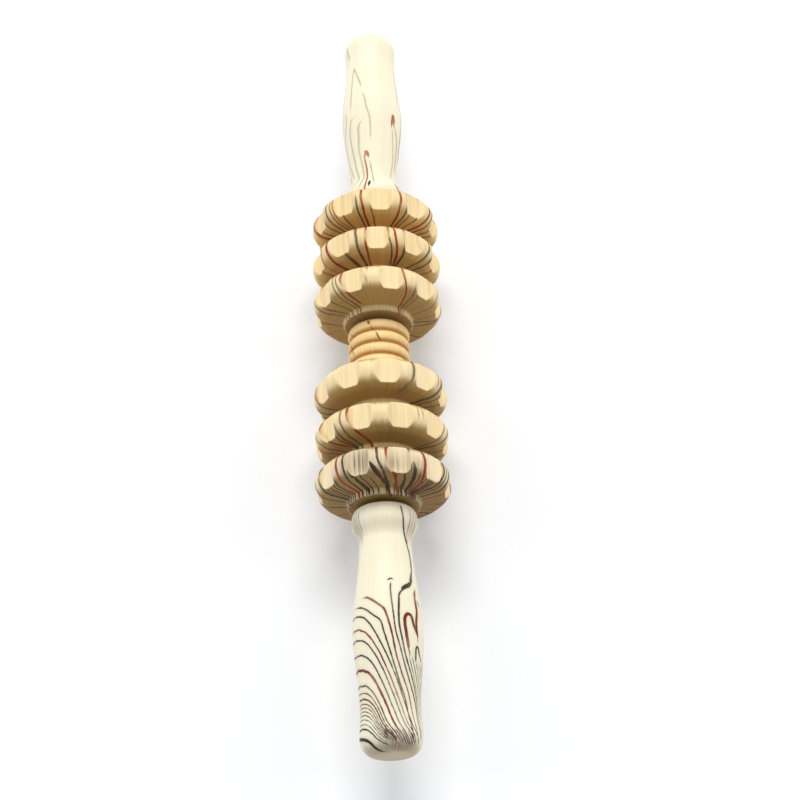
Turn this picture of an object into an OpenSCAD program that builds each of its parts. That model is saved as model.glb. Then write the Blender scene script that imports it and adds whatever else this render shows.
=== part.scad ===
// Wooden roller massager. Six notched wheels and a ribbed spacer turn freely on a wooden
// axle, and a turned handle is glued onto each end of it.
//
// The axle lies along Y, as high as the radius of a wheel. The wheels stand on z = 0, and
// the origin is on that plane, midway between the two handles.

/* [Wheels] */
// Diameter over the crest of the rim
wheel_d = 62; // [58:1:68]
// Width over the two hub bosses
wheel_w = 22; // [21:0.2:24]
// Radius of the round crest of the rim, seen in section
rim_round = 7.5; // [6:0.5:8]
// Diameter of the hub bosses
boss_d = 33; // [30:0.5:36]
// Length of each boss that stands out of the wheel's side
boss_h = 2.6; // [1:0.2:3]
// Number of notches cut across each rim
notch_count = 10; // [9:1:10]
// Depth of a notch below the crest
notch_depth = 3.3; // [2:0.1:3.6]
// Width of a notch at its flat floor
notch_floor_w = 6.8; // [6:0.2:9]
// Width of a notch at the crest
notch_top_w = 12.4; // [10:0.2:13]

/* [Ribbed spacer] */
// Length of the spacer
spacer_len = 25.3; // [22:0.1:30]
// End play of the spacer between the two middle wheels
spacer_play = 2.7; // [0.4:0.1:4]
// Diameter over the ribs
spacer_d = 29.4; // [26:0.2:32]
// Number of ribs
rib_count = 4; // [3:1:5]
// Depth of the valleys between the ribs
rib_depth = 2; // [1:0.25:3]

/* [Axle] */
// Diameter of the axle
axle_d = 14; // [12:0.5:16]
// Radial clearance of the turning pieces on the axle
running_gap = 0.05; // [0.02:0.01:0.1]
// Air between one wheel and the next
end_play = 0.35; // [0.2:0.05:0.6]
// Air between the outer wheels and the handles
handle_play = 1.9; // [0.4:0.1:3]
// Depth of the socket in each handle
socket_depth = 26; // [20:1:40]

/* [Handles] */
// Length of one handle
handle_len = 109; // [107:0.5:120]
// Diameter of the collar beside the wheels
collar_d = 29.6; // [27:0.2:32]
// Diameter of the collar's flat inner end, where its rounding starts
collar_end_d = 24.6; // [20:0.2:26]
// Diameter of the neck
neck_d = 23.2; // [22:0.2:26]
// Diameter of the grip at its fullest
grip_d = 30.4; // [28:0.2:34]
// Diameter of the waist before the end knob
waist_d = 25.4; // [23:0.2:28]
// Diameter of the end knob
knob_d = 26.6; // [25:0.2:30]
// Diameter of the flat end face
end_face_d = 15; // [10:1:20]

/* [Hidden] */
$fn = 96;

axis_z = wheel_d / 2;
bore_d = axle_d + 2 * running_gap;

// Stations along the axle, as distances from its middle
wheel_pitch = wheel_w + end_play;
first_wheel_y = (spacer_len + spacer_play + wheel_w) / 2;
handle_y = first_wheel_y + 2 * wheel_pitch + wheel_w / 2 + handle_play;

// At rest the spacer has slid along its play until it all but touches the near wheels
spacer_rest_gap = 0.2;
spacer_y = spacer_rest_gap - spacer_play / 2;

// A hair's width of air is left between the end of the axle and the foot of its socket
glue_gap = 0.5;
axle_len = 2 * (handle_y + socket_depth - glue_gap);

// Angle of each wheel at rest: how far one of its notches is turned from straight up
rest_angle = [6.5, 2, 14, 8, 18, 15];

// Handle stations, as distances from its inner end: where the collar is fullest, the neck,
// the fullest part of the grip, the waist, and the knob
collar_from = 5;
collar_to = 6;
neck_at = 15;
grip_at = 56.5;
waist_at = 92;
knob_at = 101.5;
curve_steps = 16;
round_steps = 10;

light_wood = [0.93, 0.88, 0.70];
pale_wood = [0.95, 0.92, 0.80];
honey_wood = [0.92, 0.76, 0.54];

// Turn a piece about its axis, lay that axis along Y, and lift it to the axle's height.
// A positive angle turns the top of the piece towards +X
module along_axle(y, angle = 0) {
    translate([0, y, axis_z]) rotate([0, angle, 0]) rotate([-90, 0, 0]) children();
}

// ---- Wheels ----

// Half of a wheel cut through its axle: a round-nosed rim, sides that thicken towards the
// middle, and a boss on each side
module wheel_section() {
    face_x = wheel_w / 2 - boss_h;
    boss_r = boss_d / 2;
    rim_x = wheel_d / 2 - rim_round;
    translate([rim_x, 0]) circle(r = rim_round);
    polygon([[bore_d / 2, -face_x], [boss_r, -face_x], [rim_x, -rim_round],
             [rim_x, rim_round], [boss_r, face_x], [bore_d / 2, face_x]]);
    translate([bore_d / 2, -wheel_w / 2]) square([boss_r - bore_d / 2, wheel_w]);
}

// A notch is a flat-floored trough across the rim; its walls keep opening past the crest
module notch_cutter() {
    overshoot = 3;
    floor_r = wheel_d / 2 - notch_depth;
    crest_chord = sqrt(pow(wheel_d / 2, 2) - pow(notch_top_w / 2, 2));
    splay = (notch_top_w - notch_floor_w) / 2 / (crest_chord - floor_r);
    half_floor = notch_floor_w / 2;
    half_top = half_floor + splay * (notch_depth + overshoot);
    linear_extrude(height = wheel_w, center = true)
        polygon([[-half_floor, -floor_r], [half_floor, -floor_r],
                 [half_top, -wheel_d / 2 - overshoot], [-half_top, -wheel_d / 2 - overshoot]]);
}

module notched_wheel() {
    difference() {
        rotate_extrude() wheel_section();
        for (i = [0 : notch_count - 1]) rotate([0, 0, i * 360 / notch_count]) notch_cutter();
    }
}

// Wheels 1 to 3 are on the far side of the spacer and wheels 4 to 6 on the near side,
// counted from the far handle
module wheel(number) {
    y = number <= 3 ? first_wheel_y + (3 - number) * wheel_pitch
                    : -first_wheel_y - (number - 4) * wheel_pitch;
    color(light_wood) along_axle(y, rest_angle[number - 1]) notched_wheel();
}

// ---- Ribbed spacer ----

// One rib in section: an arc from valley to valley
module rib_section(rib_w) {
    sag = rib_depth;
    r = (pow(rib_w / 2, 2) + sag * sag) / (2 * sag);
    valley_x = spacer_d / 2 - rib_depth;
    intersection() {
        translate([spacer_d / 2 - r, 0]) circle(r = r);
        translate([valley_x - 1, -rib_w / 2]) square([rib_depth + 2, rib_w]);
    }
}

module ribbed_spacer() {
    rib_w = spacer_len / rib_count;
    valley_x = spacer_d / 2 - rib_depth;
    color(honey_wood) along_axle(spacer_y) rotate_extrude() {
        translate([bore_d / 2, -spacer_len / 2]) square([valley_x - bore_d / 2, spacer_len]);
        for (i = [0 : rib_count - 1])
            translate([0, (i + 0.5) * rib_w - spacer_len / 2]) rib_section(rib_w);
    }
}

// ---- Axle ----

module axle_rod() {
    color(pale_wood) along_axle(0) cylinder(d = axle_d, h = axle_len, center = true);
}

// ---- Handles ----

// A smooth step from 0 to 1, level at both ends
function ease(t) = t * t * (3 - 2 * t);

// Points of a curve that swells or narrows from one radius to another, level at both ends
function swell(from, to) =
    [for (i = [1 : curve_steps])
        let (t = i / curve_steps)
        [from[1] + (to[1] - from[1]) * ease(t), from[0] + (to[0] - from[0]) * t]];

// Points of a quarter ellipse about a centre, which rounds an end over
function quarter(centre, radii, start) =
    [for (i = [0 : round_steps])
        let (a = start + 90 * i / round_steps)
        [centre[0] + radii[0] * cos(a), centre[1] + radii[1] * sin(a)]];

// Outline of the handle as points of radius and distance from its inner end
function handle_outline() = concat(
    [[0, 0]],
    quarter([collar_end_d / 2, collar_from],
            [(collar_d - collar_end_d) / 2, collar_from], -90),
    [[collar_d / 2, collar_to]],
    swell([collar_to, collar_d / 2], [neck_at, neck_d / 2]),
    swell([neck_at, neck_d / 2], [grip_at, grip_d / 2]),
    swell([grip_at, grip_d / 2], [waist_at, waist_d / 2]),
    swell([waist_at, waist_d / 2], [knob_at, knob_d / 2]),
    quarter([end_face_d / 2, knob_at],
            [(knob_d - end_face_d) / 2, handle_len - knob_at], 0),
    [[0, handle_len]]);

module handle_blank() {
    difference() {
        rotate_extrude() polygon(handle_outline());
        translate([0, 0, -1]) cylinder(d = axle_d, h = socket_depth + 1);
    }
}

module far_handle() {
    color(pale_wood) along_axle(handle_y) handle_blank();
}

module near_handle() {
    color(pale_wood) mirror([0, 1, 0]) along_axle(handle_y) handle_blank();
}

axle_rod();
far_handle();
near_handle();
wheel(1);  // wheel_1
wheel(2);  // wheel_2
wheel(3);  // wheel_3
wheel(4);  // wheel_4
wheel(5);  // wheel_5
wheel(6);  // wheel_6
ribbed_spacer();
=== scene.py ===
"""Looks of the wooden roller massager: turned pale wood with marbled dark and red veins.

Every wooden piece is a lathe mesh. Its outline is a list of (radius, station) points in
millimetres, where a station is a distance along the axle, and its surface is a grid of
angles by outline points. Veins are smooth curves on that surface, drawn as (angle, run)
points. Angles are in degrees from straight up, positive towards +X, and a run is a length
along the outline.
"""

import math
import random

import bmesh
import bpy
import numpy as np
from mathutils import Matrix, Vector, kdtree


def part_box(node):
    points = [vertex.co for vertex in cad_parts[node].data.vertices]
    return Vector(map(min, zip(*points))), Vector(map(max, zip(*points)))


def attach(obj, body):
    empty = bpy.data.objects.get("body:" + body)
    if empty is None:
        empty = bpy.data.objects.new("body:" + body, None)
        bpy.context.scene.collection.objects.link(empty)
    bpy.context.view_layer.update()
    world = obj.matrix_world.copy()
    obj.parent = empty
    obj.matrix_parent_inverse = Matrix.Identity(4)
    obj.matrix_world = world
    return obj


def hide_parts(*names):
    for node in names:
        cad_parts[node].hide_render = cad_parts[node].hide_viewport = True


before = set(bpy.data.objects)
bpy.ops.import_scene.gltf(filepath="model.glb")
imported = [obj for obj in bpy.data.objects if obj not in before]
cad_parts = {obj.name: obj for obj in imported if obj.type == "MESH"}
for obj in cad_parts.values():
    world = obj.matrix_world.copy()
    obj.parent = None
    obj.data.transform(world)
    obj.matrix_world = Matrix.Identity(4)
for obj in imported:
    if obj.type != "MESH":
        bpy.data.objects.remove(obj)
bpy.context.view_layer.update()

MM = 0.001


def box_mm(node):
    low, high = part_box(node)
    return low / MM, high / MM


AXLE_LOW, AXLE_HIGH = box_mm("axle_rod")
AXIS_Z = (AXLE_LOW.z + AXLE_HIGH.z) / 2

# ---- Camera, floor and light --------------------------------------------------------

CAMERA_DISTANCE = 0.66986
CAMERA_ELEVATION = math.radians(61.526)
CAMERA_ROLL = math.radians(-2.25)
CAMERA_LENS = 64.75
CAMERA_TARGET = Vector((0.00897, -0.02565, AXIS_Z * MM))


def make_camera():
    data = bpy.data.cameras.new("camera")
    data.sensor_width = 36
    data.lens = CAMERA_LENS
    camera = bpy.data.objects.new("camera", data)
    bpy.context.scene.collection.objects.link(camera)
    back = Vector((0, -math.cos(CAMERA_ELEVATION), math.sin(CAMERA_ELEVATION)))
    right = Vector((1, 0, 0))
    up = back.cross(right)
    cos, sin = math.cos(CAMERA_ROLL), math.sin(CAMERA_ROLL)
    turned = Matrix((right * cos + up * sin, up * cos - right * sin, back)).transposed()
    camera.matrix_world = Matrix.LocRotScale(
        CAMERA_TARGET + back * CAMERA_DISTANCE, turned, None)
    bpy.context.scene.camera = camera


FLOOR_REACH = 6.0
FLOOR_GLOW = 0.125
FLOOR_ROUGHNESS = 0.85
PAPER_GRAIN = (900, 900, 900)
PAPER, PALE_PAPER = (0.745, 0.752, 0.77), (0.785, 0.792, 0.81)


def make_floor():
    """White paper that glows a little, as bounced light in a bright room would make it."""
    mesh = bpy.data.meshes.new("floor")
    corners = [(x * FLOOR_REACH, y * FLOOR_REACH, 0)
               for x, y in ((-1, -1), (1, -1), (1, 1), (-1, 1))]
    mesh.from_pydata(corners, [], [(0, 1, 2, 3)])
    floor = bpy.data.objects.new("floor", mesh)
    bpy.context.scene.collection.objects.link(floor)
    g = Graph("floor_paper")
    fleck = g.noise(g.stretched(PAPER_GRAIN), 1.0, 3.0)
    g.put(g.mix(fleck, PAPER, PALE_PAPER), g.shader.inputs["Base Color"])
    g.shader.inputs["Emission Color"].default_value = (0.97, 0.98, 1, 1)
    g.shader.inputs["Emission Strength"].default_value = FLOOR_GLOW
    g.put(FLOOR_ROUGHNESS, g.shader.inputs["Roughness"])
    mesh.materials.append(g.material)


LIGHT_AIM = Vector((0, 0, 0.03))


def make_light(name, place, width, depth, power, colour=(1, 1, 1)):
    data = bpy.data.lights.new(name, "AREA")
    data.shape = "RECTANGLE"
    data.size, data.size_y = width, depth
    data.energy = power
    data.color = colour
    light = bpy.data.objects.new(name, data)
    light.location = place
    light.rotation_euler = (LIGHT_AIM - Vector(place)).to_track_quat("-Z", "Y").to_euler()
    bpy.context.scene.collection.objects.link(light)


def make_lights():
    """A window high behind the object, soft light from both sides, and a dim room."""
    make_light("window", (0, 1.9, 2.35), width=1.9, depth=0.7, power=65,
               colour=(1, 0.985, 0.95))
    for name, x in (("left", -1.4), ("right", 1.4)):
        make_light(name, (x, 0.1, 0.8), width=0.8, depth=1.2, power=7)
    world = bpy.data.worlds.new("studio")
    world.use_nodes = True
    shade = world.node_tree.nodes["Background"].inputs
    shade["Color"].default_value = (0.95, 0.97, 1.0, 1)
    shade["Strength"].default_value = 0.5
    bpy.context.scene.world = world
    bpy.context.scene.view_settings.view_transform = "Standard"


# ---- Material nodes -----------------------------------------------------------------


class Graph:
    """A short way to write a material's nodes."""

    def __init__(self, name):
        self.material = bpy.data.materials.new(name)
        self.material.use_nodes = True
        self.tree = self.material.node_tree
        self.shader = self.tree.nodes["Principled BSDF"]

    def put(self, value, socket):
        if isinstance(value, bpy.types.NodeSocket):
            self.tree.links.new(value, socket)
        elif isinstance(value, tuple) and len(value) == 3 and socket.type == "RGBA":
            socket.default_value = (*value, 1)
        else:
            socket.default_value = value

    def node(self, kind, inputs=(), **settings):
        made = self.tree.nodes.new(kind)
        for key, value in settings.items():
            setattr(made, key, value)
        for key, value in dict(inputs).items():
            self.put(value, made.inputs[key])
        return made

    def math(self, operation, a, b=0.0, c=0.0):
        inputs = {0: a, 1: b, 2: c}
        return self.node("ShaderNodeMath", inputs, operation=operation).outputs[0]

    def vector(self, operation, inputs):
        return self.node("ShaderNodeVectorMath", inputs, operation=operation).outputs[0]

    def scaled(self, colour, amount):
        return self.vector("SCALE", {0: colour, "Scale": amount})

    def mix(self, amount, a, b):
        made = self.node("ShaderNodeMix", data_type="RGBA")
        self.put(amount, made.inputs[0])
        self.put(a, made.inputs[6])
        self.put(b, made.inputs[7])
        return made.outputs[2]

    def smooth(self, value, low, high, to_low=0.0, to_high=1.0):
        """Value mapped smoothly from low..high to to_low..to_high."""
        inputs = {"Value": value, "From Min": low, "From Max": high,
                  "To Min": to_low, "To Max": to_high}
        made = self.node("ShaderNodeMapRange", inputs, interpolation_type="SMOOTHSTEP")
        return made.outputs["Result"]

    def noise(self, place, scale, detail=2.0, roughness=0.5):
        inputs = {"Vector": place, "Scale": scale, "Detail": detail, "Roughness": roughness}
        return self.node("ShaderNodeTexNoise", inputs).outputs["Fac"]

    def bump(self, height, strength, distance):
        inputs = {"Height": height, "Strength": strength, "Distance": distance}
        return self.node("ShaderNodeBump", inputs).outputs["Normal"]

    def attribute(self, name):
        return self.node("ShaderNodeAttribute", attribute_name=name).outputs["Fac"]

    def spoke(self, turns, along):
        """Coordinates that change fast round the axle and slowly along it."""
        place = self.node("ShaderNodeTexCoord").outputs["Object"]
        axle = (0, 0, AXIS_Z * MM)
        flat = self.vector("MULTIPLY", {0: self.vector("SUBTRACT", {0: place, 1: axle}),
                                        1: (1, 0, 1)})
        unit = self.vector("NORMALIZE", {0: flat})
        drift = self.vector("MULTIPLY", {0: place, 1: (along,) * 3})
        return self.vector("MULTIPLY_ADD", {0: unit, 1: (turns,) * 3, 2: drift})

    def stretched(self, scale):
        """Object coordinates, stretched by a different amount along each axis."""
        place = self.node("ShaderNodeTexCoord").outputs["Object"]
        return self.node("ShaderNodeMapping", {"Vector": place, "Scale": scale}).outputs[0]


ORANGE_INK = (0.46, 0.17, 0.045)
WEAK_INK = (0.50, 0.30, 0.14)
# Colour of the stains, and of the painted shade on the near knob
STAIN_AND_SHADE = (0.22, 0.15, 0.10)
PALE_WOOD = (0.80, 0.74, 0.60)

# Noise scales across the grain, along it and across it again
FINE_GRAIN = (900, 60, 900)
DOWEL_GRAIN = (900, 40, 900)
GROWTH_LINES = (520, 8, 520)
VEIN_WOBBLE = (700, 500, 700)
INK_FADING = (120, 45, 120)
LATHE_RINGS = (12, 1500, 12)

# Noise scale of the duller patches, the same every way
PATCHES = 28.0

# Shares of a mix
PALLOR_SHARE = 0.55
HALO = 0.2

# How ragged an edge is: that of the end grain and its painted shade as a share, and a vein's
# in millimetres
RAGGED_END = 0.36
RAGGED_VEIN = 0.4

# Surface
SATIN_ROUGHNESS = 0.36
DOWEL_ROUGHNESS = 0.5
WOOD_IOR = 1.45
WOOD_SPECULAR = 0.3


def darker(colour, share):
    return tuple(c * share for c in colour)


class Grain:
    """The noises that every layer of the marbled wood follows."""

    def __init__(self, g):
        place = g.node("ShaderNodeTexCoord").outputs["Object"]
        self.fibre = g.noise(g.stretched(FINE_GRAIN), 1.0, 4.0, 0.6)
        self.streak = g.noise(g.spoke(26, 30), 1.0, 3.0, 0.55)
        self.patch = g.noise(place, PATCHES, 2.0)
        self.tone = g.math("ADD", g.math("MULTIPLY", self.streak, 0.6),
                           g.math("MULTIPLY", self.patch, 0.4))


def bare_wood(g, grain, light, deep):
    """Light wood with deeper streaks. Some pieces are turned from paler timber."""
    wood = g.mix(g.smooth(grain.tone, 0.35, 0.68), light, deep)
    wood = g.mix(g.smooth(grain.fibre, 0.55, 0.8, 0.0, 0.16), wood, darker(deep, 0.62))
    return g.mix(g.math("MULTIPLY", g.attribute("pallor"), PALLOR_SHARE), wood, PALE_WOOD)


def end_wood_and_shade(g, grain, end):
    """End grain drinks the finish and goes brown, on some pieces more than on others. The
    brown is also painted shade on the sides that face along the axle.
    """
    wood = g.mix(g.smooth(grain.tone, 0.3, 0.7), end, darker(end, 0.72))
    return g.scaled(wood, g.math("ADD", g.attribute("end_and_shade_tone"), 1.0))


def open_grain_and_shade(g):
    """How far each point is end grain, with a ragged edge drawn along the grain. The brown
    it brings is also painted shade on the sides that face along the axle.
    """
    ragged = g.math("MULTIPLY_ADD", g.noise(g.spoke(44, 12), 1.0, 3.0, 0.6),
                    RAGGED_END, -RAGGED_END / 2)
    return g.smooth(g.math("ADD", g.attribute("end_grain_and_shade"), ragged), 0.38, 0.82)


def vein_edge(g, near):
    """How far each point is outside the edge of the nearest vein, in millimetres.

    The signed distance runs straight through a vein's middle, so it is the truer one
    there. Farther off it jumps where another vein is nearest, and the plain one serves.
    """
    signed = g.math("ABSOLUTE", g.attribute("vein_signed"))
    far = g.attribute("vein_far")
    beside = g.math("LESS_THAN", far, near)
    across = g.math("MULTIPLY_ADD", beside, g.math("SUBTRACT", signed, far), far)
    wobble = g.math("SUBTRACT", g.noise(g.stretched(VEIN_WOBBLE), 1.0, 2.0), 0.5)
    ragged = g.math("MULTIPLY_ADD", wobble, RAGGED_VEIN, across)
    return g.math("SUBTRACT", ragged, g.attribute("vein_half"))


def vein_ink(g, dark_ink, red_ink):
    """The nearest vein's colour, from its hue. It is weak where a notch cuts it."""
    hue = g.attribute("vein_hue")
    ink_tone = g.mix(g.smooth(hue, 0.4, 0.6), dark_ink, red_ink)
    ink_tone = g.mix(g.smooth(hue, 1.4, 1.6), ink_tone, ORANGE_INK)
    return g.mix(g.smooth(g.attribute("vein_depth"), 0.4, 0.9), WEAK_INK, ink_tone)


def satin(g, grain, ends, stroke):
    """Handling dulls the gloss in patches, and the grain stands a little proud."""
    dull = g.math("MULTIPLY_ADD", grain.patch, 0.16, g.math("MULTIPLY", grain.fibre, 0.14))
    dull = g.math("MULTIPLY_ADD", ends, 0.12, dull)
    rings = g.noise(g.stretched(LATHE_RINGS), 1.0, 1.0)
    relief = g.math("MULTIPLY_ADD", grain.fibre, 0.7, g.math("MULTIPLY", rings, 0.5))
    relief = g.math("SUBTRACT", relief, g.math("MULTIPLY", stroke, 0.3))
    bump = g.bump(relief, 0.35, 0.12 * MM)
    g.put(g.math("ADD", dull, SATIN_ROUGHNESS), g.shader.inputs["Roughness"])
    g.put(bump, g.shader.inputs["Normal"])
    g.put(WOOD_IOR, g.shader.inputs["IOR"])
    g.put(WOOD_SPECULAR, g.shader.inputs["Specular IOR Level"])


def veined_wood(name, light, deep, end, dark_ink, red_ink, near=0.45):
    """Satin turned wood: grain along the axle, darker end grain that also paints shade on
    the sides facing along the axle, and marbled veins.
    """
    g = Graph(name)
    grain = Grain(g)
    # End grain mask, which is also painted shade on the sides that face along the axle
    ends = open_grain_and_shade(g)
    wood = g.mix(ends, bare_wood(g, grain, light, deep), end_wood_and_shade(g, grain, end))

    edge = vein_edge(g, near)
    ink_tone = vein_ink(g, dark_ink, red_ink)
    strength = g.math("MULTIPLY", g.attribute("vein_depth"), g.attribute("vein_strength"))
    fading = g.smooth(g.noise(g.stretched(INK_FADING), 1.0, 3.0), 0.30, 0.56, 0.78, 1.0)
    stroke = g.math("MULTIPLY", g.smooth(edge, -0.1, 0.16, 1.0, 0.0), fading)
    stroke = g.math("MULTIPLY", stroke, strength)
    halo = g.math("MULTIPLY", g.smooth(edge, 0.0, 1.6, HALO, 0.0), strength)
    # Stains, which on the near knob also paint the shade of its end
    stain_and_shade = g.math("MULTIPLY", g.attribute("stain_and_shade"),
                   g.smooth(grain.streak, 0.4, 0.6, 0.45, 1.0))

    colour = g.mix(halo, wood, g.mix(0.5, deep, ink_tone))
    colour = g.mix(stain_and_shade, colour, STAIN_AND_SHADE)
    g.put(g.mix(stroke, colour, ink_tone), g.shader.inputs["Base Color"])
    satin(g, grain, ends, stroke)
    return g.material


def plain_wood(name, light, deep):
    """The axle's sanded dowel: straight grain with darker growth lines."""
    g = Graph(name)
    fibre = g.noise(g.stretched(DOWEL_GRAIN), 1.0, 4.0, 0.6)
    growth = g.noise(g.stretched(GROWTH_LINES), 1.0, 2.0)
    wood = g.mix(g.smooth(growth, 0.4, 0.62), light, deep)
    wood = g.mix(g.smooth(fibre, 0.5, 0.8, 0.0, 0.3), wood, darker(deep, 0.55))
    bump = g.bump(fibre, 0.4, 0.1 * MM)
    g.put(wood, g.shader.inputs["Base Color"])
    g.put(g.math("MULTIPLY_ADD", fibre, 0.2, DOWEL_ROUGHNESS), g.shader.inputs["Roughness"])
    g.put(bump, g.shader.inputs["Normal"])
    return g.material


# ---- Outlines -----------------------------------------------------------------------


def ease(t):
    return t * t * (3 - 2 * t)


def arc(centre, radii, start, end, steps):
    """Points of (radius, station) along an ellipse, from one angle to another."""
    return [(centre[0] + radii[0] * math.cos(math.radians(a)),
             centre[1] + radii[1] * math.sin(math.radians(a)))
            for a in np.linspace(start, end, steps)]


def line(a, b, steps):
    return [(a[0] + (b[0] - a[0]) * t, a[1] + (b[1] - a[1]) * t)
            for t in np.linspace(0, 1, steps)]


def swell(a, b, steps):
    """From one (radius, station) to another, level at both ends."""
    return [(a[0] + (b[0] - a[0]) * ease(t), a[1] + (b[1] - a[1]) * t)
            for t in np.linspace(0, 1, steps)]


def chain(*runs):
    """Joins runs of points and drops the doubled points where they meet."""
    points = []
    for run in runs:
        for p in run:
            if not points or math.dist(points[-1], p) > 1e-4:
                points.append(p)
    return points


FAR_LOW, FAR_HIGH = box_mm("far_handle")
HANDLE_Y = FAR_LOW.y
HANDLE_LENGTH = FAR_HIGH.y - FAR_LOW.y
COLLAR_END_R, COLLAR_R, NECK_R, GRIP_R = 12.3, 14.8, 11.6, 15.2
WAIST_R, KNOB_R, END_FACE_R = 12.7, 13.3, 7.5
COLLAR_FROM, COLLAR_TO, NECK_AT, GRIP_AT, WAIST_AT, KNOB_AT = 5, 6, 15, 56.5, 92, 101.5
AXLE_R = 7.0
SOCKET_DEPTH = 26.0
SOCKET_LIP = 0.4


def handle_outline():
    """From the socket's foot, out over the collar, along the grip, to the end face."""
    return chain(
        line((0, SOCKET_DEPTH), (AXLE_R, SOCKET_DEPTH), 3),
        line((AXLE_R, SOCKET_DEPTH), (AXLE_R, SOCKET_LIP), 4),
        line((AXLE_R + SOCKET_LIP, 0), (COLLAR_END_R, 0), 6),
        arc((COLLAR_END_R, COLLAR_FROM), (COLLAR_R - COLLAR_END_R, COLLAR_FROM),
            -90, 0, 14),
        line((COLLAR_R, COLLAR_FROM), (COLLAR_R, COLLAR_TO), 2),
        swell((COLLAR_R, COLLAR_TO), (NECK_R, NECK_AT), 23),
        swell((NECK_R, NECK_AT), (GRIP_R, GRIP_AT), 68),
        swell((GRIP_R, GRIP_AT), (WAIST_R, WAIST_AT), 76),
        swell((WAIST_R, WAIST_AT), (KNOB_R, KNOB_AT), 24),
        arc((END_FACE_R, KNOB_AT), (KNOB_R - END_FACE_R, HANDLE_LENGTH - KNOB_AT),
            0, 90, 24),
        line((END_FACE_R, HANDLE_LENGTH), (0, HANDLE_LENGTH), 10),
    )


WHEEL_W = 22.0
WHEEL_R = 31.0
RIM_ROUND = 7.5
BOSS_R = 16.5
BOSS_H = 2.6
RUNNING_GAP = 0.05
BORE_R = AXLE_R + RUNNING_GAP
NOTCH_COUNT = 10
NOTCH_DEPTH = 3.3
NOTCH_FLOOR_R = WHEEL_R - NOTCH_DEPTH
NOTCH_HALF_FLOOR = 3.4
NOTCH_HALF_TOP = 6.2
NOTCH_CORNER = 0.35
NOTCH_BRINK = 0.4
EASED = 0.5


def wheel_outline():
    """From the bore over the far side to the crest, and back over the near side."""
    half = WHEEL_W / 2
    face = half - BOSS_H
    rim = WHEEL_R - RIM_ROUND
    side = chain(
        line((BORE_R, 0), (BORE_R, half - EASED), 4),
        line((BORE_R + EASED, half), (BOSS_R - EASED, half), 14),
        arc((BOSS_R - EASED, half - EASED), (EASED, EASED), 90, 0, 6),
        line((BOSS_R, half - EASED), (BOSS_R, face + EASED), 4),
        arc((BOSS_R + EASED, face + EASED), (EASED, EASED), 180, 262, 5),
        line((BOSS_R + 2 * EASED, face - 0.1), (rim, RIM_ROUND), 14),
        arc((rim, 0), (RIM_ROUND, RIM_ROUND), 90, 0, 36),
    )
    return side + [(r, -y) for r, y in reversed(side[1:-1])]


SPACER_LOW, SPACER_HIGH = box_mm("ribbed_spacer")
SPACER_LENGTH = SPACER_HIGH.y - SPACER_LOW.y
SPACER_R = 14.7
RIB_COUNT = 4
RIB_DEPTH = 2.0


def spacer_outline():
    """Ribs as arcs from valley to valley, over a bore."""
    rib = SPACER_LENGTH / RIB_COUNT
    arc_r = ((rib / 2) ** 2 + RIB_DEPTH ** 2) / (2 * RIB_DEPTH)
    reach = math.degrees(math.asin(rib / 2 / arc_r))
    start = -SPACER_LENGTH / 2
    middles = [start + (i + 0.5) * rib for i in range(RIB_COUNT)]
    ribs = [arc((SPACER_R - arc_r, middle), (arc_r, arc_r), -reach, reach, 26)
            for middle in middles]
    low = SPACER_R - RIB_DEPTH
    bore = line((BORE_R, -start), (BORE_R, start), 8)
    return chain(line((BORE_R, start), (low, start), 8), *ribs,
                 line((low, -start), (BORE_R, -start), 8), bore[1:-1])


AXLE_HALF = (AXLE_HIGH.y - AXLE_LOW.y) / 2
AXLE_CHAMFER = 0.8


def axle_outline():
    """A rod with its two ends chamfered."""
    inner, shoulder = AXLE_R - AXLE_CHAMFER, AXLE_HALF - AXLE_CHAMFER
    return chain(line((0, -AXLE_HALF), (inner, -AXLE_HALF), 6),
                 line((AXLE_R, -shoulder), (AXLE_R, shoulder), 60),
                 line((inner, AXLE_HALF), (0, AXLE_HALF), 6))


# ---- Lathe meshes -------------------------------------------------------------------


def soft_min(a, b, k):
    """The lower of two, blended over a distance k where they cross."""
    h = np.clip(0.5 + 0.5 * (b - a) / k, 0, 1)
    return b + (a - b) * h - k * h * (1 - h)


def notched(radius, angle):
    """The radius that the flat-floored notches leave, and how deep each point was cut."""
    step = 2 * math.pi / NOTCH_COUNT
    off = np.abs((angle + step / 2) % step - step / 2)
    crest = math.sqrt(WHEEL_R ** 2 - NOTCH_HALF_TOP ** 2)
    splay = (NOTCH_HALF_TOP - NOTCH_HALF_FLOOR) / (crest - NOTCH_FLOOR_R)
    floor = NOTCH_FLOOR_R / np.cos(off)
    wall = (splay * NOTCH_FLOOR_R - NOTCH_HALF_FLOOR) / (splay * np.cos(off) - np.sin(off))
    trough = -soft_min(-floor, -wall, NOTCH_CORNER)
    return soft_min(radius, trough, NOTCH_BRINK), radius - np.minimum(radius, trough)


def lengths(points):
    """The length along a line of points at each of them."""
    steps = np.linalg.norm(np.diff(points, axis=0), axis=1)
    return np.concatenate([[0], np.cumsum(steps)])


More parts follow.
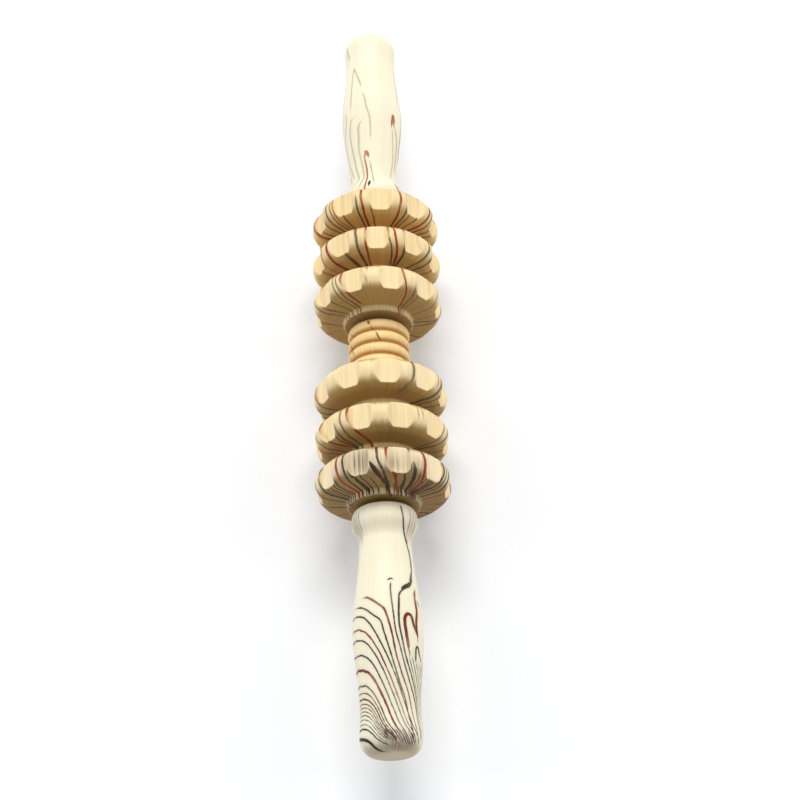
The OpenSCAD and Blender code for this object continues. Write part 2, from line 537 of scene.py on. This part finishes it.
class Lathe:
    """A grid of outline points by angles, kept in millimetres until the mesh is made.

    It stands at y on the axle, and reverse turns it end for end. The anchor is an index
    in the outline and the run there. A notch_turn cuts notches, with one at that angle.
    """

    def __init__(self, outline, y, around, reverse=False, anchor=(0, 0), notch_turn=None):
        self.outline = np.array(outline)
        self.y = y
        self.sign = -1 if reverse else 1
        angles = np.linspace(0, 2 * math.pi, around, endpoint=False)
        self.radius, self.angle = np.meshgrid(self.outline[:, 0], angles, indexing="ij")
        self.station = np.repeat(self.outline[:, 1:2], around, axis=1)
        self.turned, self.cut = self.radius, np.zeros_like(self.radius)
        if notch_turn is not None:
            off_notch = self.angle - math.radians(notch_turn)
            self.turned, self.cut = notched(self.radius, off_notch)
        run = lengths(self.outline)
        at, value = anchor
        self.run = run - run[at] + value
        self.slope = np.gradient(self.outline, self.run, axis=0)

    def place(self, radius, angle, station):
        """Points at a radius, an angle in radians and a station."""
        return np.stack([radius * np.sin(angle), self.y + self.sign * station,
                         AXIS_Z + radius * np.cos(angle)], axis=-1)

    def surface(self, angle, run):
        """Points at angles and runs, and the surface's normals there."""
        radius = np.interp(run, self.run, self.outline[:, 0])
        station = np.interp(run, self.run, self.outline[:, 1])
        outward = np.interp(run, self.run, self.slope[:, 0])
        onward = np.interp(run, self.run, self.slope[:, 1])
        normal = [onward * np.sin(angle), -self.sign * outward, onward * np.cos(angle)]
        return self.place(radius, angle, station), np.stack(normal, axis=-1)

    def grid(self):
        """Angle in degrees, -180 to 180, and run of each vertex."""
        angle = (np.degrees(self.angle) + 180) % 360 - 180
        return angle.ravel(), np.repeat(self.run, self.angle.shape[1])

    def build(self, name, closed=False):
        rows, around = self.turned.shape
        points = self.place(self.turned, self.angle, self.station).reshape(-1, 3) * MM
        index = np.arange(rows * around).reshape(rows, around)
        lower = index if closed else index[:-1]
        upper = np.roll(index, -1, axis=0) if closed else index[1:]
        ring = [lower, np.roll(lower, -1, axis=1), np.roll(upper, -1, axis=1), upper]
        faces = np.stack(ring, axis=-1).reshape(-1, 4)
        mesh = bpy.data.meshes.new(name)
        mesh.from_pydata(points.tolist(), [], faces.tolist())
        return mesh


def close_up(mesh):
    """Welds the rings with no radius at the flat ends, and turns every face outwards."""
    work = bmesh.new()
    work.from_mesh(mesh)
    bmesh.ops.remove_doubles(work, verts=work.verts, dist=1e-7)
    bmesh.ops.recalc_face_normals(work, faces=work.faces)
    work.to_mesh(mesh)
    work.free()
    mesh.shade_smooth()


# ---- Veins --------------------------------------------------------------------------

# In millimetres: the step along a vein, the greatest distance that is kept, how far the
# line's edge draws back at its two ends, and the depth of cut that bares new wood
VEIN_STEP = 0.2
FAR_AWAY = 30.0
END_FADE = 0.35
BARE_CUT = 0.15

# Below 1, a vein comes to its full width sooner than in step with its length
TAPER_POWER = 0.6

# About how long a degree is on the surface of a wheel, in millimetres
DEGREE_LENGTH = 0.5

# Hues, which the material turns into ink colours
DARK, RED, RUST, ORANGE = 0, 1, 1.53, 2


class Vein:
    """A line on the surface: its (angle, run) points, width, hue and strength.

    It narrows to nothing over the length of its taper at both ends. Thin is what its
    width is multiplied by on the way from its first point to its last.
    """

    def __init__(self, points, width=0.8, hue=DARK, taper=4.0, strength=1.0, thin=1.0):
        self.points = points
        self.width = width
        self.hue = hue
        self.taper = taper
        self.strength = strength
        self.thin = thin


def smooth_run(points):
    """A Catmull-Rom curve through the (angle, run) points."""
    p = np.array([points[0], *points, points[-1]], float)
    pieces = []
    for a, b, c, d in zip(p, p[1:], p[2:], p[3:]):
        reach = math.hypot((c[0] - b[0]) * DEGREE_LENGTH, c[1] - b[1])
        t = np.linspace(0, 1, max(2, int(reach / VEIN_STEP)), endpoint=False)[:, None]
        pieces.append(0.5 * (2 * b + (c - a) * t + (2 * a - 5 * b + 4 * c - d) * t ** 2
                             + (3 * b - a - 3 * c + d) * t ** 3))
    return np.concatenate([*pieces, p[-1:]])


def write(mesh, name, values):
    layer = mesh.attributes.new(name, "FLOAT", "POINT")
    layer.data.foreach_set("value", np.asarray(values, np.float32))


def trace(lathe, vein):
    """Close points along a vein, the way across it at each, its half width and look."""
    drawn = smooth_run(vein.points)
    points, normal = lathe.surface(np.radians(drawn[:, 0]), drawn[:, 1])
    across = np.cross(np.gradient(points, axis=0), normal)
    across /= np.maximum(np.linalg.norm(across, axis=1, keepdims=True), 1e-9)
    gone = lengths(points)
    full = np.clip(np.minimum(gone, gone[-1] - gone) / vein.taper, 0, 1) ** TAPER_POWER
    width = vein.width * (1 - (1 - vein.thin) * gone / gone[-1])
    half = (width / 2 + END_FADE) * full - END_FADE
    return points, across, half, np.tile((vein.hue, vein.strength), (len(points), 1))


def end_facing(lathe, spread):
    """How squarely each vertex faces along the axle, averaged over a spread of run."""
    weight = np.exp(-((lathe.run[:, None] - lathe.run) / spread) ** 2)
    weight *= np.gradient(lathe.run)
    facing = weight @ np.abs(lathe.slope[:, 0]) / weight.sum(axis=1)
    return np.repeat(facing, lathe.angle.shape[1])


def ink(mesh, lathe, veins, depth=None, stain_and_shade=None, end_spread=0.6):
    """Writes, for every vertex, how far the nearest vein is, its half width and colour."""
    traced = zip(*[trace(lathe, vein) for vein in veins])
    samples, across, half, looks = [np.concatenate(part) for part in traced]
    tree = kdtree.KDTree(len(samples))
    for i, p in enumerate(samples.tolist()):
        tree.insert(p, i)
    tree.balance()
    flat = lathe.place(lathe.radius, lathe.angle, lathe.station).reshape(-1, 3)
    found = np.array([tree.find(p)[1] for p in flat.tolist()])
    gap = flat - samples[found]
    write(mesh, "vein_signed", np.einsum("ij,ij->i", gap, across[found]))
    write(mesh, "vein_far", np.minimum(np.linalg.norm(gap, axis=1), FAR_AWAY))
    write(mesh, "vein_half", half[found])
    write(mesh, "vein_hue", looks[found, 0])
    write(mesh, "vein_strength", looks[found, 1])
    write(mesh, "vein_depth", np.ones(len(flat)) if depth is None else depth.ravel())
    whole = 1 - np.clip(lathe.cut.ravel() / BARE_CUT, 0, 1)
    # End grain, which also stands for painted shade on the sides that face along the axle
    write(mesh, "end_grain_and_shade", end_facing(lathe, end_spread) * whole)
    write(mesh, "stain_and_shade", np.zeros(len(flat)) if stain_and_shade is None else stain_and_shade)


def blots(lathe, spots):
    """Soft blots of stain, and on the near knob of painted shade: (angle, run, spread in mm,
    strength) each, added together.
    """
    angle, run = lathe.grid()
    total = np.zeros(len(angle))
    for at, along, spread, strength in spots:
        off = ((angle - at + 180) % 360 - 180) * math.radians(1) * lathe.radius.ravel()
        total += strength * np.exp(-(off ** 2 + (run - along) ** 2) / spread ** 2)
    return np.clip(total, 0, 1)


# ---- Veins of the handles -----------------------------------------------------------

# Strength of the far handle's long lines
FAINT = 0.36

# A flame line is level up to the bend's angle, and then gains run at a steady slope
FLAME_BEND = -32
FLAME_SOFT = 10
FLAME_SLOPE = 0.65
FLAME_ANGLES = range(-105, 112, 6)

# Past this run, on the knob, the lines gain less run by a share. The share grows from
# nothing at one angle to the whole of it at another
KNOB_LEAN_FROM = 99
KNOB_LEAN = 0.5
UPRIGHT_ANGLE, LEANING_ANGLE = -40, 0


def flame(start, angle):
    """The run of a flame line at an angle. It leans over where it comes to the knob."""
    past_bend = math.log1p(math.exp((angle - FLAME_BEND) / FLAME_SOFT))
    run = start + FLAME_SLOPE * FLAME_SOFT * past_bend
    t = (angle - UPRIGHT_ANGLE) / (LEANING_ANGLE - UPRIGHT_ANGLE)
    lean = KNOB_LEAN * ease(min(max(t, 0), 1))
    return run - lean * max(run - KNOB_LEAN_FROM, 0)


def flames(starts, width, hue=DARK, low=40, high=104, seed=1, shake=0.2):
    """Flame lines that start level on the left and run down the right of the grip."""
    pick = random.Random(seed)
    made = []
    for start in starts:
        line_up = [(a, flame(start, a) + pick.uniform(-shake, shake)) for a in FLAME_ANGLES]
        inside = [p for p in line_up if low <= p[1] <= high]
        made.append(Vein(inside, width * pick.uniform(0.85, 1.15), hue, taper=5, thin=0.4))
    return made


def kinked_veins():
    """From the collar, round the right of the neck, and back over a thick kink."""
    return [
        Vein([(30, 1), (33, 5), (39, 10), (47, 14), (60, 22), (61, 28), (54, 34), (48, 37)],
             0.6, taper=1, thin=2.2),
        Vein([(58, 30), (53, 35), (45, 38.3), (34, 40), (26, 42), (22, 45)], 1.9, taper=6),
        Vein([(26, 41.5), (21, 46), (19, 56), (24, 64), (32, 72), (46, 80), (57, 87),
              (66, 97), (74, 104)], 1.0, taper=2, thin=0.3),
        Vein([(49, 0.5), (51, 5), (53, 9), (55, 14), (59, 20)], 0.6, RED, strength=0.6),
        Vein([(9, 37.5), (7, 42), (10, 52), (13, 60), (19, 66), (28, 74), (39, 81),
              (55, 90), (60, 98), (70, 105)], 0.6, taper=2),
        Vein([(1, 37.5), (8, 36.6), (15, 37)], 1.1, taper=1.5),
    ]


def hooked_veins():
    """A hook on the right of the grip, and the red lines inside the kink."""
    return [
        Vein([(53, 73), (52, 67), (57, 66), (63, 69), (71, 72)], 1.0, taper=2),
        Vein([(40, 72), (34, 65), (29, 57), (30, 54), (35, 52.5), (42, 53), (47, 57),
              (57, 62.5)], 1.5, RED, taper=7),
        Vein([(62, 39), (57, 42), (56, 46), (57, 50), (54, 54), (53, 58), (58, 64)],
             1.5, RED, taper=3),
        Vein([(60, 44), (68, 48)], 0.7, RED, taper=2),
    ]


def flame_veins():
    """Two long lines from the left of the grip, and the flame lines that follow them."""
    made = [
        Vein([(-48, 44), (-38, 44), (-28, 45.3), (-15, 48), (-5, 50.5), (0, 54), (4, 58),
              (8, 63), (13, 70), (23, 78), (38, 87), (48, 97), (58, 105)], 1.0, RED,
             taper=3, thin=0.3),
        Vein([(-70, 47), (-49, 48), (-35, 50), (-22, 53), (-13, 55), (-9, 57), (-6, 60.5),
              (1, 67), (9, 74), (19, 82), (30, 89), (38, 98), (48, 106)], 0.75,
             taper=4, thin=0.6),
    ]
    made += flames([51, 61.5], 0.75, high=110, seed=2)
    made += flames([57], 0.85, RED, high=109, seed=3)
    made += flames([68, 81, 86.5], 0.75, high=111, seed=4)
    made += flames([74.3], 1.15, RED, high=111, seed=5)
    made += flames([84, 88.6], 0.55, RED, high=110, seed=6, shake=0.1)
    made += flames([90.2, 91.8, 93.4, 95.2, 97.2], 0.42, high=110, seed=7, shake=0.05)
    made += flames([99.2], 0.9, high=112, seed=8)
    made += [Vein([(-100, 102), (-74, 103), (-54, 104.4), (-44, 106), (-36, 109),
                   (-24, 112), (0, 114)], 1.4, taper=5)]
    made += flames([59.5, 64.5, 71, 78], 0.6, low=100, high=111, seed=10, shake=0.1)
    made += flames([26, 21.5, 17, 12.5, 8, 3.5, -1, -5.5], 0.4, low=67, high=106, seed=9,
                   shake=0.1)
    return made


def collar_veins():
    """Short faint lines from the collar down to the neck."""
    return [Vein([(a, 1), (a - 2, 7), (a * 1.08, 15 + 2 * (a % 3))], 0.6,
                 RED if a % 3 else DARK, strength=0.5)
            for a in (-80, -73, -66, -61, -55, -48, 62, 70, 76)]


def loose_lines(seed, first, last):
    """Loose wavy lines along the side of a handle that lies away from the marbled front."""
    pick = random.Random(seed)
    made, angle = [], first
    while angle < last:
        start = pick.uniform(1, 50)
        end = min(start + pick.uniform(25, 90), 104)
        count = max(3, int((end - start) / 9))
        points = [(angle + pick.uniform(-3, 3), start + (end - start) * k / count)
                  for k in range(count + 1)]
        width = pick.uniform(0.5, 1.0)
        made.append(Vein(points, width, pick.choice([DARK, DARK, RED]), taper=8))
        angle += pick.uniform(9, 16)
    return made


def near_handle_veins():
    return [*kinked_veins(), *hooked_veins(), *flame_veins(), *collar_veins(),
            *loose_lines(seed=11, first=100, last=250)]


def far_handle_veins():
    """Bold tips of lines at the collar and the grip, and faint long lines between them."""
    tips = [
        Vein([(-20, 1), (-14, 8), (-15, 17), (-20, 25), (-19, 27)], 0.8, RUST, taper=2),
        Vein([(-20, 24), (-18, 27), (-15, 28), (-12, 27), (-9, 24)], 1.4, RUST, taper=2),
        Vein([(-9, 24), (-5, 19), (-1, 12), (2, 4)], 0.6, RED, strength=0.5),
        Vein([(45, 43), (45, 48), (48, 52), (51, 48), (52, 44)], 1.3, RUST, taper=4),
        Vein([(46, 45), (49, 39), (53, 33), (55, 24), (46, 12)], 0.5, strength=0.5),
        Vein([(52, 47), (59, 42), (66, 36), (67, 29), (65, 18)], 0.8, ORANGE, strength=0.8),
        Vein([(-10, 3.5), (-6, 8.5)], 1.3, taper=2),
        Vein([(57, 4), (48, 10)], 1.2, taper=2),
        Vein([(-64, 104), (-60, 98), (-56, 92)], 1.3, taper=4, strength=0.35),
    ]
    faint = [
        Vein([(-44, 55), (-43, 65), (-42, 77), (-40, 84), (-34, 81), (-28, 77),
              (-17, 68)], 0.8),
        Vein([(-50, 5), (-36, 11), (-45, 20), (-51, 31), (-52, 41), (-44, 49),
              (-31, 50)], 1.0),
        Vein([(-31, 3), (-23, 10), (-25, 18), (-32, 29), (-30, 37), (-27, 44),
              (-16, 47)], 1.0),
        Vein([(-54, 14), (-71, 25), (-77, 35), (-74, 42), (-61, 49), (-59, 58)], 0.9),
        Vein([(-62, 10), (-80, 22), (-86, 36), (-80, 52), (-76, 70), (-80, 90)], 0.9),
        Vein([(-3, 34), (-3, 47), (-9, 55), (-13, 62), (-19, 66)], 0.8),
        Vein([(62, 60), (70, 75), (76, 90)], 0.9),
    ]
    for vein in faint:
        vein.strength = FAINT
    return tips + faint + loose_lines(seed=12, first=84, last=268)


# ---- Veins of the wheels and the spacer ---------------------------------------------

# Runs on a wheel, whose crest is 0: the foot of its near side, and the far side's foot
FOOT_RUN = 19
BACK_RUN = -26

# How far apart a line's points are, how far they sway in degrees before and after a run
# behind the crest, and the angles between which the lines are spaced at random
OVER_STEP = 4.5
BACK_SWAY, FRONT_SWAY, SWAY_FROM = 0.9, 0.35, -4
UNDERSIDE = (98, 262)


def over(crest, foot, width=0.9, hue=DARK, start=BACK_RUN, end=24, strength=1.0, seed=0):
    """A line that crosses the crest at one angle and reaches the near foot at another."""
    pick = random.Random(seed * 1000 + crest * 7 + foot)
    count = max(2, round((end - start) / OVER_STEP))
    points = []
    for k in range(count + 1):
        run = start + (end - start) * k / count
        sway = pick.uniform(-1, 1) * (BACK_SWAY if run < SWAY_FROM else FRONT_SWAY)
        points.append((crest + (foot - crest) * max(run, 0) / FOOT_RUN + sway, run))
    return Vein(points, width, hue, strength=strength)


def underside_lines(number, gaps):
    """Lines of the lower part of a wheel, spaced at random."""
    pick = random.Random(40 + number)
    made = []
    angle, last = UNDERSIDE
    while angle < last:
        made.append(over(angle, angle + pick.uniform(-7, 7), pick.uniform(0.6, 1.3),
                         pick.choice([DARK, DARK, RED]), pick.choice([-30, -22, -14]),
                         pick.choice([12, 18, 24, 30]), seed=number))
        angle += pick.uniform(*gaps)
    return made


# The lines of each wheel, in the order of the arguments of over()
WHEEL_VEINS = {
    1: [(-76, -73, 1.9, RED), (-67, -66, 0.8), (-57, -55, 0.8), (-49, -48, 1.0),
        (-41, -37, 1.0, ORANGE), (-44, -42, 0.6), (-33, -32, 0.8), (-16, -15, 1.0, DARK, -2),
        (-11, -9, 1.1, RED), (-4, 1, 0.7, RED, 3), (25, 26, 1.1, RED), (33, 32, 0.9),
        (39, 36, 0.6), (50, 43, 0.6), (61, 53, 1.2, RED), (66, 61, 0.9), (76, 68, 0.8),
        (87, 74, 0.9)],
    2: [(-68, -70, 0.9, RED), (-57, -62, 0.9, ORANGE), (-49, -46, 1.6, RED, BACK_RUN, 26),
        (-33, -26, 1.9, DARK, -16), (-17, -14, 1.3, DARK, BACK_RUN, 24), (-8, -8, 1.0, RED),
        (12, 23, 0.8), (18, 28, 1.1, RED), (28, 32, 1.2), (46, 58, 0.9, ORANGE, -10, 4),
        (57, 48, 1.1), (64, 59, 1.0), (76, 74, 0.7, RED)],
    3: [(-66, -60, 1.9, ORANGE, -22, 8), (-76, -64, 1.1, DARK, -8), (-70, -56, 1.3, DARK, 4),
        (-86, -95, 1.0, DARK, -6), (-54, -45, 1.0), (-42, -35, 0.8), (-38, -29, 0.9),
        (-33, -21, 1.1, RED, BACK_RUN, 18), (-14, -10, 0.6, DARK, -12, 8),
        (-7, -6, 1.0, ORANGE, -18, -1), (-10, 2, 0.5, DARK, -2, 6), (25, 37, 0.8, RED),
        (37, 41, 0.8, DARK, 2), (44, 46, 0.5), (59, 59, 0.8, ORANGE, -14, 5), (68, 70, 0.6),
        (95, 104, 1.1, DARK, 4), (82, 86, 0.6)],
    4: [(-76, -68, 2.2, RED, -6, 5, 0.7), (-78, -72, 1.0, DARK, -4), (-90, -84, 0.9),
        (-6, -5, 1.3, DARK, 2.6, 4.8), (31, 28, 1.3, DARK, -18, 7),
        (33, 18, 1.7, DARK, 5, 16, 0.5),
        (60, 54, 0.9, ORANGE, -8, 5), (66, 54, 1.8), (73, 62, 0.8), (84, 74, 0.8)],
    5: [(-64, -47, 1.3, RED, BACK_RUN, 18), (-74, -62, 0.8), (-84, -72, 1.0, RED),
        (-48, -44, 0.8), (-42, -40, 1.2, DARK, 0), (-36, -31, 1.0),
        (-29, -15, 1.4, RED, BACK_RUN, 24), (33, 38, 0.9, DARK, -8, 3, 0.5),
        (38, 43, 1.0, DARK, -8, 3, 0.5), (76, 64, 1.2), (67, 58, 0.6), (88, 80, 0.9)],
    6: [(-67, -70, 1.7, DARK, BACK_RUN, 24), (-54, -57, 0.9, ORANGE, -14, 8),
        (-41, -40, 1.3, RED), (-47, -49, 0.8, DARK, 3), (-56, -60, 0.9, DARK, 6),
        (-34, -33, 1.0), (-31, -22, 1.9, DARK, 0, 22), (-12, 8, 2.1, DARK, 1, 25),
        (-4, 9, 1.1), (4, 21, 1.3, RED, BACK_RUN, 24), (17, 28, 1.4, DARK, 6, 24),
        (24, 30, 0.7, DARK, BACK_RUN, 8), (26, 37, 1.9, DARK, 1, 23), (37, 45, 1.4, RED),
        (47, 50, 0.6), (54, 54, 0.7, DARK, 4), (62, 59, 1.1), (66, 65, 0.7), (71, 72, 1.2),
        (80, 82, 0.9, RED), (-78, -82, 0.9), (-61, -65, 0.6, DARK, 4),
        (-51, -54, 0.6, DARK, 5), (-28, -26, 0.5, DARK, 5), (-24, -15, 0.6, DARK, 4),
        (-17, -7, 0.5, DARK, 7),
        (-2, 5, 0.5, DARK, 6), (10, 17, 0.5, DARK, 5), (21, 24, 0.5, DARK, 6),
        (33, 41, 0.6, DARK, 4), (42, 47, 0.5, DARK, 5), (51, 52, 0.6, DARK, 3),
        (58, 57, 0.6, RED, 4)],
}
# For each wheel: the strength of its dark lines, how pale its wood is, how much lighter its
# end grain and painted shade is, its stains, and the least and greatest gap between the
# lines below
DARKNESS = {1: 0.82, 2: 0.85, 3: 0.66, 4: 0.78, 5: 0.8, 6: 1}
PALLOR = {1: 0, 2: 0.05, 3: 0.1, 4: 0.2, 5: 0.15, 6: 0.7}
# How much lighter each wheel's sides are painted, for the shade and bounced light that
# differ from wheel to wheel
END_AND_SHADE_TONE = {1: 0.5, 2: 0.3, 3: -0.1, 4: 0, 5: -0.05, 6: -0.3}
SMEARS = {4: [(25, 11, 4, 0.5), (20, 15, 3, 0.4)],
          6: [(-22, 0, 8, 1.0), (12, 2, 5, 0.7), (32, 2, 5, 0.4)]}
WHEEL_GAPS = {1: (7, 15), 2: (9, 18), 3: (9, 20), 4: (16, 34), 5: (12, 26), 6: (5, 10)}


def wheel_veins(number):
    drawn = [over(*vein, seed=number) for vein in WHEEL_VEINS[number]]
    drawn += underside_lines(number, WHEEL_GAPS[number])
    for vein in drawn:
        vein.strength *= DARKNESS[number] if vein.hue == DARK else 1
    return drawn


def spacer_veins():
    """Five lines that show at rest, and faint ones spaced at random round the rest."""
    pick = random.Random(31)
    made = [Vein([(-20, 14), (-17, 12), (-15, 10.5)], 1.3, RED, taper=1.5),
            Vein([(-16, 11), (-12, 9), (-8, 7)], 0.5, taper=2),
            Vein([(-6, 6), (-3, 4.5), (0, 2.5), (6, 0)], 0.7, RED, taper=2),
            Vein([(-60, 5), (-65, 1), (-55, -4), (-52, -7)], 0.8, strength=0.6),
            Vein([(-70, 12), (-60, 9), (-57, 6)], 0.7, RED, strength=0.7)]
    for i in range(12):
        angle = 40 + i * 22 + pick.uniform(-9, 9)
        start = pick.uniform(-17, 6)
        end = start + pick.uniform(6, 16)
        lean = pick.uniform(4, 16)
        points = [(angle, start), (angle + lean * 0.4, (start + end) / 2),
                  (angle + lean, min(end, 17))]
        width = pick.uniform(0.4, 0.7)
        made.append(Vein(points, width, pick.choice([RED, ORANGE]), strength=0.45))
    return made


# ---- Pieces -------------------------------------------------------------------------

# Columns in each lathe mesh
FAR_HANDLE_COLUMNS, NEAR_HANDLE_COLUMNS = 240, 400
WHEEL_COLUMNS, SPACER_COLUMNS, AXLE_COLUMNS = 420, 220, 96

# Stains at the collar of both handles, and on the knob of the near one, where the spots are
# partly a brown smudge and partly painted shade on the knob's end
COLLAR_STAINS = [(-62, 9, 5, 0.25), (64, 9, 5, 0.2)]
KNOB_STAINS_AND_SHADE = [(2, 108, 4, 0.5), (26, 108, 5, 0.6), (50, 107.5, 4, 0.4),
               (-60, 110, 4, 0.3), (-28, 111, 4, 0.3)]

# How far one notch of each wheel is turned from straight up
REST_TURNS = (6.5, 2, 14, 8, 18, 15)

# On a wheel a vein loses up to this share of its strength in a cut as deep as this, in
# millimetres; the colour of end grain, which is also painted shade, spreads this far past
# its edge
CUT_FADE, CUT_FADE_DEPTH = 0.72, 1.2
WHEEL_END_SPREAD = 2.4


def add_piece(name, mesh, material, body, node):
    mesh.materials.append(material)
    piece = bpy.data.objects.new(name, mesh)
    bpy.context.scene.collection.objects.link(piece)
    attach(piece, body)
    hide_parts(node)


def nearest(points, target):
    """Index of the outline point nearest to a (radius, station)."""
    return min(range(len(points)), key=lambda i: math.dist(points[i], target))


def make_handle(side, lathe, veins, stains, material):
    name = f"{side}_handle_wood"
    mesh = lathe.build(name)
    ink(mesh, lathe, veins, stain_and_shade=blots(lathe, stains))
    close_up(mesh)
    add_piece(name, mesh, material, "stick", f"{side}_handle")


def make_handles(material):
    outline = handle_outline()
    anchor = (nearest(outline, (GRIP_R, GRIP_AT)), GRIP_AT)
    far = Lathe(outline, HANDLE_Y, FAR_HANDLE_COLUMNS, anchor=anchor)
    make_handle("far", far, far_handle_veins(), COLLAR_STAINS, material)
    near = Lathe(outline, -HANDLE_Y, NEAR_HANDLE_COLUMNS, reverse=True, anchor=anchor)
    make_handle("near", near, near_handle_veins(), COLLAR_STAINS + KNOB_STAINS_AND_SHADE, material)


def make_wheels(material):
    outline = wheel_outline()
    anchor = (nearest(outline, (WHEEL_R, 0)), 0)
    for number, turn in enumerate(REST_TURNS, start=1):
        low, high = box_mm(f"wheel_{number}")
        lathe = Lathe(outline, (low.y + high.y) / 2, WHEEL_COLUMNS, anchor=anchor,
                      notch_turn=turn)
        name = f"wheel_{number}_wood"
        mesh = lathe.build(name, closed=True)
        depth = 1 - CUT_FADE * np.clip(lathe.cut / CUT_FADE_DEPTH, 0, 1)
        smear = blots(lathe, SMEARS.get(number, []))
        ink(mesh, lathe, wheel_veins(number), depth=depth, stain_and_shade=smear,
            end_spread=WHEEL_END_SPREAD)
        write(mesh, "pallor", np.full(len(mesh.vertices), PALLOR[number]))
        write(mesh, "end_and_shade_tone", np.full(len(mesh.vertices), END_AND_SHADE_TONE[number]))
        close_up(mesh)
        add_piece(name, mesh, material, f"wheel_{number}", f"wheel_{number}")


def make_spacer(material):
    outline = spacer_outline()
    anchor = (nearest(outline, (SPACER_R - RIB_DEPTH, 0)), 0)
    middle = (SPACER_LOW.y + SPACER_HIGH.y) / 2
    lathe = Lathe(outline, middle, SPACER_COLUMNS, anchor=anchor)
    mesh = lathe.build("ribbed_spacer_wood", closed=True)
    ink(mesh, lathe, spacer_veins())
    close_up(mesh)
    add_piece("ribbed_spacer_wood", mesh, material, "spacer", "ribbed_spacer")


def make_axle(material):
    mesh = Lathe(axle_outline(), 0, AXLE_COLUMNS).build("axle_rod_wood")
    close_up(mesh)
    add_piece("axle_rod_wood", mesh, material, "stick", "axle_rod")


make_camera()
make_floor()
make_lights()
# Each end colour is the brown of end grain and also painted shade on the sides that face
# along the axle
make_handles(veined_wood(
    "handle_marbled", light=(0.85, 0.795, 0.625), deep=(0.795, 0.73, 0.53),
    end=(0.66, 0.56, 0.38), dark_ink=(0.030, 0.021, 0.013), red_ink=(0.15, 0.012, 0.009),
    near=0.28))
make_wheels(veined_wood(
    "wheel_marbled", light=(0.84, 0.67, 0.38), deep=(0.74, 0.55, 0.27),
    end=(0.49, 0.30, 0.095), dark_ink=(0.055, 0.030, 0.014), red_ink=(0.27, 0.040, 0.010)))
make_spacer(veined_wood(
    "spacer_honey", light=(0.86, 0.64, 0.31), deep=(0.76, 0.51, 0.20),
    end=(0.56, 0.27, 0.06), dark_ink=(0.12, 0.07, 0.03), red_ink=(0.30, 0.06, 0.015)))
make_axle(plain_wood("axle_plain", light=(0.76, 0.58, 0.34), deep=(0.60, 0.41, 0.20)))
